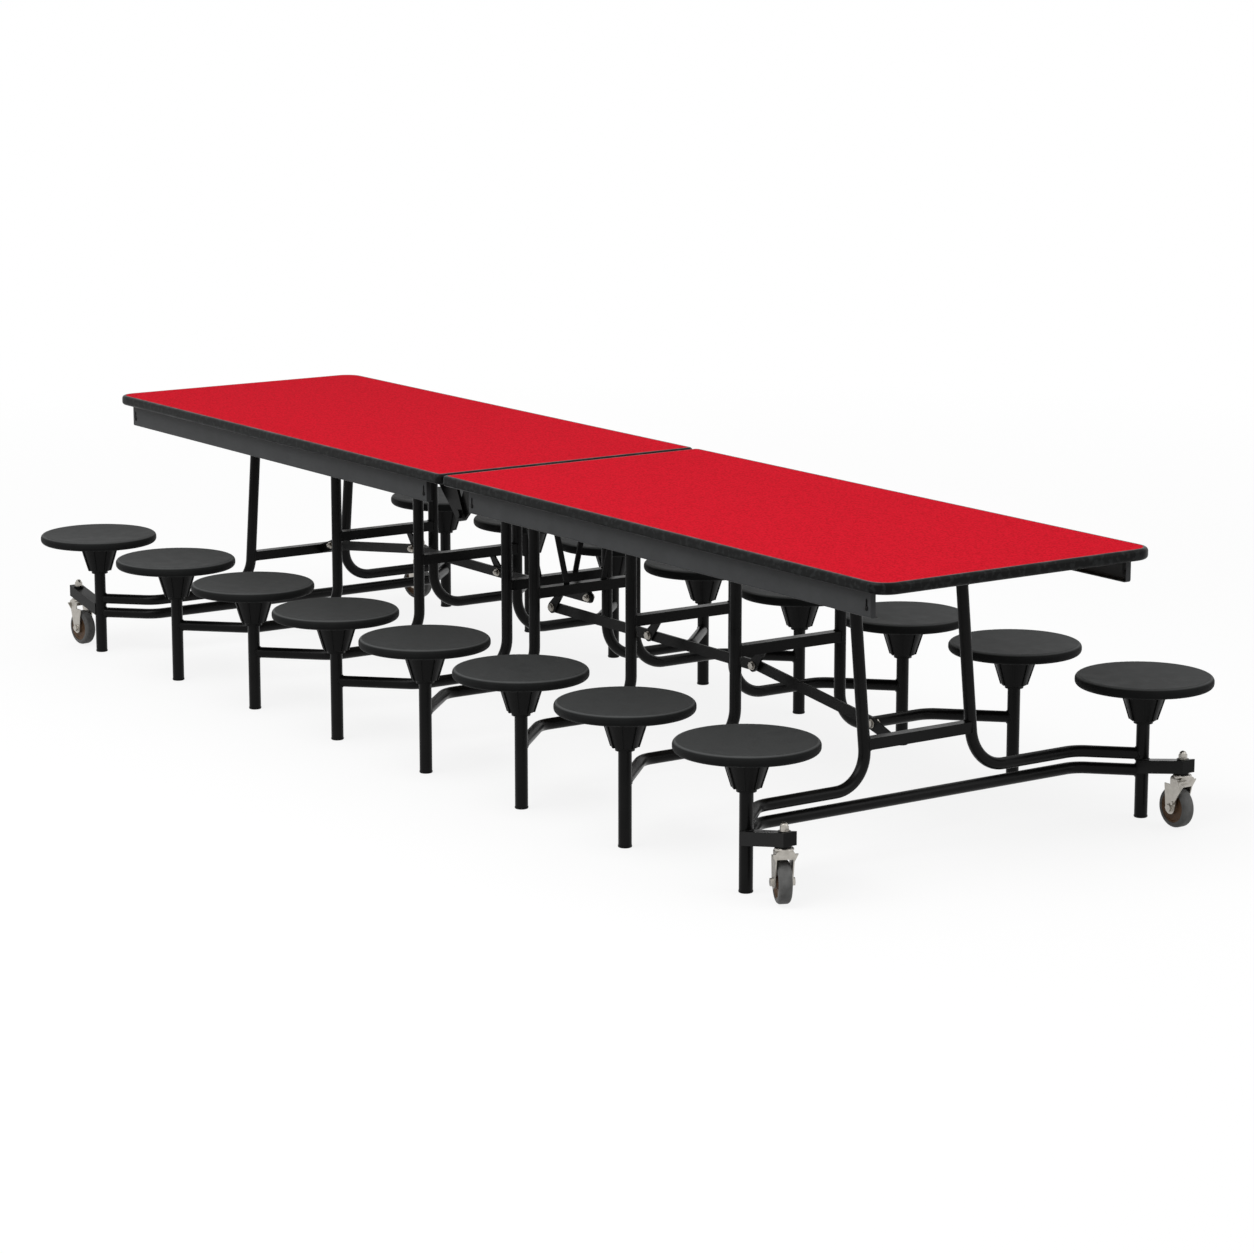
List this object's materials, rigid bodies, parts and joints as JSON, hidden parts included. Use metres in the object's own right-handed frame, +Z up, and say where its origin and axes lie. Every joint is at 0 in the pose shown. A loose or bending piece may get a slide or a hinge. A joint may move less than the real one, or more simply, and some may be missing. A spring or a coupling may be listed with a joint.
{
  "type": "mobile cafeteria table",
  "caption": "Folding mobile cafeteria table with a red laminate top, black edge, fixed round stools on bent steel tube frames and swivel casters at both ends.",
  "frame": {"origin": "on the floor under the middle of the table", "axes": "+X along the table, +Y across it, +Z up"},
  "size_m": [3.746, 1.563, 0.737],
  "materials": {
    "red_laminate": "fine pebbled laminate",
    "board": "raw board",
    "black_edge": "textured moulded edge",
    "rail_steel": "satin powder coat",
    "black_steel": "satin powder coat",
    "seat_plastic": "fine matte grain",
    "hub_plastic": "satin moulded",
    "zinc": "zinc plated",
    "grey_tyre": "smooth rubber",
    "brown_hub": "moulded"
  },
  "bodies": {
    "right_table_top": {"right_top_core": "board", "right_top_laminate": "red_laminate", "right_top_edge": "black_edge", "right_side_rails": "rail_steel", "right_hinges": "black_steel"},
    "right_centre_stools": {"right_centre_frame": "black_steel", "right_centre_seats": "seat_plastic", "right_centre_hubs_glides": "hub_plastic", "right_centre_link_bolt": "zinc"},
    "right_inner_stools": {"right_inner_frame": "black_steel", "right_inner_seats": "seat_plastic", "right_inner_hubs_glides": "hub_plastic", "right_inner_link_bolt": "zinc"},
    "right_outer_stools": {"right_outer_frame": "black_steel", "right_outer_seats": "seat_plastic", "right_outer_hubs_glides": "hub_plastic", "right_outer_link_bolt": "zinc"},
    "right_end_stools": {"right_end_frame": "black_steel", "right_end_seats": "seat_plastic", "right_end_hubs_glides": "hub_plastic", "right_end_link_bolt": "zinc"},
    "right_tie": {"right_tie_bar": "black_steel"},
    "right_slant_link": {"right_end_link": "black_steel"},
    "left_table_top": {"left_top_core": "board", "left_top_laminate": "red_laminate", "left_top_edge": "black_edge", "left_side_rails": "rail_steel", "left_hinges": "black_steel"},
    "left_centre_stools": {"left_centre_frame": "black_steel", "left_centre_seats": "seat_plastic", "left_centre_hubs_glides": "hub_plastic", "left_centre_link_bolt": "zinc"},
    "left_inner_stools": {"left_inner_frame": "black_steel", "left_inner_seats": "seat_plastic", "left_inner_hubs_glides": "hub_plastic", "left_inner_link_bolt": "zinc"},
    "left_outer_stools": {"left_outer_frame": "black_steel", "left_outer_seats": "seat_plastic", "left_outer_hubs_glides": "hub_plastic", "left_outer_link_bolt": "zinc"},
    "left_end_stools": {"left_end_frame": "black_steel", "left_end_seats": "seat_plastic", "left_end_hubs_glides": "hub_plastic", "left_end_link_bolt": "zinc"},
    "left_tie": {"left_tie_bar": "black_steel"},
    "left_slant_link": {"left_end_link": "black_steel"},
    "right_near_swivel": {"right_near_fork": "zinc"},
    "right_near_wheel": {"right_near_wheel_hub": "brown_hub", "right_near_tyre": "grey_tyre"},
    "right_far_swivel": {"right_far_fork": "zinc"},
    "right_far_wheel": {"right_far_wheel_hub": "brown_hub", "right_far_tyre": "grey_tyre"},
    "left_near_swivel": {"left_near_fork": "zinc"},
    "left_near_wheel": {"left_near_wheel_hub": "brown_hub", "left_near_tyre": "grey_tyre"},
    "left_far_swivel": {"left_far_fork": "zinc"},
    "left_far_wheel": {"left_far_wheel_hub": "brown_hub", "left_far_tyre": "grey_tyre"},
    "right_far_brake": {"right_far_brake_pedal": "zinc"}
  },
  "joints": [
    {"name": "fold", "type": "hinge", "parent": "right_end_stools", "child": "right_table_top", "pos_m": [1.4575, 0, 0.625], "axis": [0, 1, 0], "range_deg": [0, 75]},
    {"name": "centre_fold", "type": "hinge", "parent": "right_table_top", "child": "left_table_top", "pos_m": [0, 0, 0.627], "axis": [0, 1, 0], "range_deg": [-150, 0]},
    {"name": "right_centre_level", "type": "hinge", "parent": "right_table_top", "child": "right_centre_stools", "pos_m": [0.0685, 0, 0.685], "axis": [0, 1, 0], "range_deg": [-75, 0]},
    {"name": "left_centre_level", "type": "hinge", "parent": "left_table_top", "child": "left_centre_stools", "pos_m": [-0.0685, 0, 0.685], "axis": [0, 1, 0], "range_deg": [0, 75]},
    {"name": "right_inner_level", "type": "hinge", "parent": "right_table_top", "child": "right_inner_stools", "pos_m": [0.5255, 0, 0.685], "axis": [0, 1, 0], "range_deg": [-75, 0]},
    {"name": "left_inner_level", "type": "hinge", "parent": "left_table_top", "child": "left_inner_stools", "pos_m": [-0.5255, 0, 0.685], "axis": [0, 1, 0], "range_deg": [0, 75]},
    {"name": "right_outer_level", "type": "hinge", "parent": "right_table_top", "child": "right_outer_stools", "pos_m": [0.9825, 0, 0.685], "axis": [0, 1, 0], "range_deg": [-75, 0]},
    {"name": "left_outer_level", "type": "hinge", "parent": "left_table_top", "child": "left_outer_stools", "pos_m": [-0.9825, 0, 0.685], "axis": [0, 1, 0], "range_deg": [0, 75]},
    {"name": "left_end_level", "type": "hinge", "parent": "left_table_top", "child": "left_end_stools", "pos_m": [-1.4575, 0, 0.625], "axis": [0, 1, 0], "range_deg": [0, 75]},
    {"name": "right_tie_turn", "type": "hinge", "parent": "right_outer_stools", "child": "right_tie", "pos_m": [0.9425, 0, 0.347], "axis": [0, 1, 0], "range_deg": [0, 75]},
    {"name": "left_tie_turn", "type": "hinge", "parent": "left_outer_stools", "child": "left_tie", "pos_m": [-0.9425, 0, 0.347], "axis": [0, 1, 0], "range_deg": [-75, 0]},
    {"name": "right_link_turn", "type": "hinge", "parent": "right_end_stools", "child": "right_slant_link", "pos_m": [1.4175, 0, 0.287], "axis": [0, 1, 0], "range_deg": [0, 75]},
    {"name": "left_link_turn", "type": "hinge", "parent": "left_end_stools", "child": "left_slant_link", "pos_m": [-1.4175, 0, 0.287], "axis": [0, 1, 0], "range_deg": [-75, 0]},
    {"name": "right_near_swivel_turn", "type": "hinge", "parent": "right_end_stools", "child": "right_near_swivel", "pos_m": [1.7775, -0.61, 0.12], "axis": [0, 0, 1], "continuous": true},
    {"name": "right_near_roll", "type": "hinge", "parent": "right_near_swivel", "child": "right_near_wheel", "pos_m": [1.76132, -0.60211, 0.053], "axis": [-0.4384, -0.8988, 0], "continuous": true},
    {"name": "right_far_swivel_turn", "type": "hinge", "parent": "right_end_stools", "child": "right_far_swivel", "pos_m": [1.7775, 0.61, 0.12], "axis": [0, 0, 1], "continuous": true},
    {"name": "right_far_roll", "type": "hinge", "parent": "right_far_swivel", "child": "right_far_wheel", "pos_m": [1.75951, 0.61063, 0.053], "axis": [-0.0349, -0.9994, 0], "continuous": true},
    {"name": "right_far_brake_press", "type": "hinge", "parent": "right_far_swivel", "child": "right_far_brake", "pos_m": [1.7715, 0.61021, 0.067], "axis": [0.0349, 0.9994, 0], "range_deg": [0, 20], "stiffness_Nm_per_rad": 0.6},
    {"name": "left_near_swivel_turn", "type": "hinge", "parent": "left_end_stools", "child": "left_near_swivel", "pos_m": [-1.7775, -0.61, 0.12], "axis": [0, 0, 1], "continuous": true},
    {"name": "left_near_roll", "type": "hinge", "parent": "left_near_swivel", "child": "left_near_wheel", "pos_m": [-1.75957, -0.60843, 0.053], "axis": [-0.0872, 0.9962, 0], "continuous": true},
    {"name": "left_far_swivel_turn", "type": "hinge", "parent": "left_end_stools", "child": "left_far_swivel", "pos_m": [-1.7775, 0.61, 0.12], "axis": [0, 0, 1], "continuous": true},
    {"name": "left_far_roll", "type": "hinge", "parent": "left_far_swivel", "child": "left_far_wheel", "pos_m": [-1.79441, 0.60384, 0.053], "axis": [0.342, -0.9397, 0], "continuous": true}
  ],
  "couplings": [
    {"joint": "centre_fold", "follows": "fold", "ratio": -2},
    {"joint": "right_centre_level", "follows": "fold", "ratio": -1},
    {"joint": "left_centre_level", "follows": "fold", "ratio": 1},
    {"joint": "right_inner_level", "follows": "fold", "ratio": -1},
    {"joint": "left_inner_level", "follows": "fold", "ratio": 1},
    {"joint": "right_outer_level", "follows": "fold", "ratio": -1},
    {"joint": "left_outer_level", "follows": "fold", "ratio": 1},
    {"joint": "left_end_level", "follows": "fold", "ratio": 1},
    {"joint": "right_tie_turn", "follows": "fold", "ratio": 1},
    {"joint": "left_tie_turn", "follows": "fold", "ratio": -1},
    {"joint": "right_link_turn", "follows": "fold", "ratio": 1},
    {"joint": "left_link_turn", "follows": "fold", "ratio": -1}
  ]
}
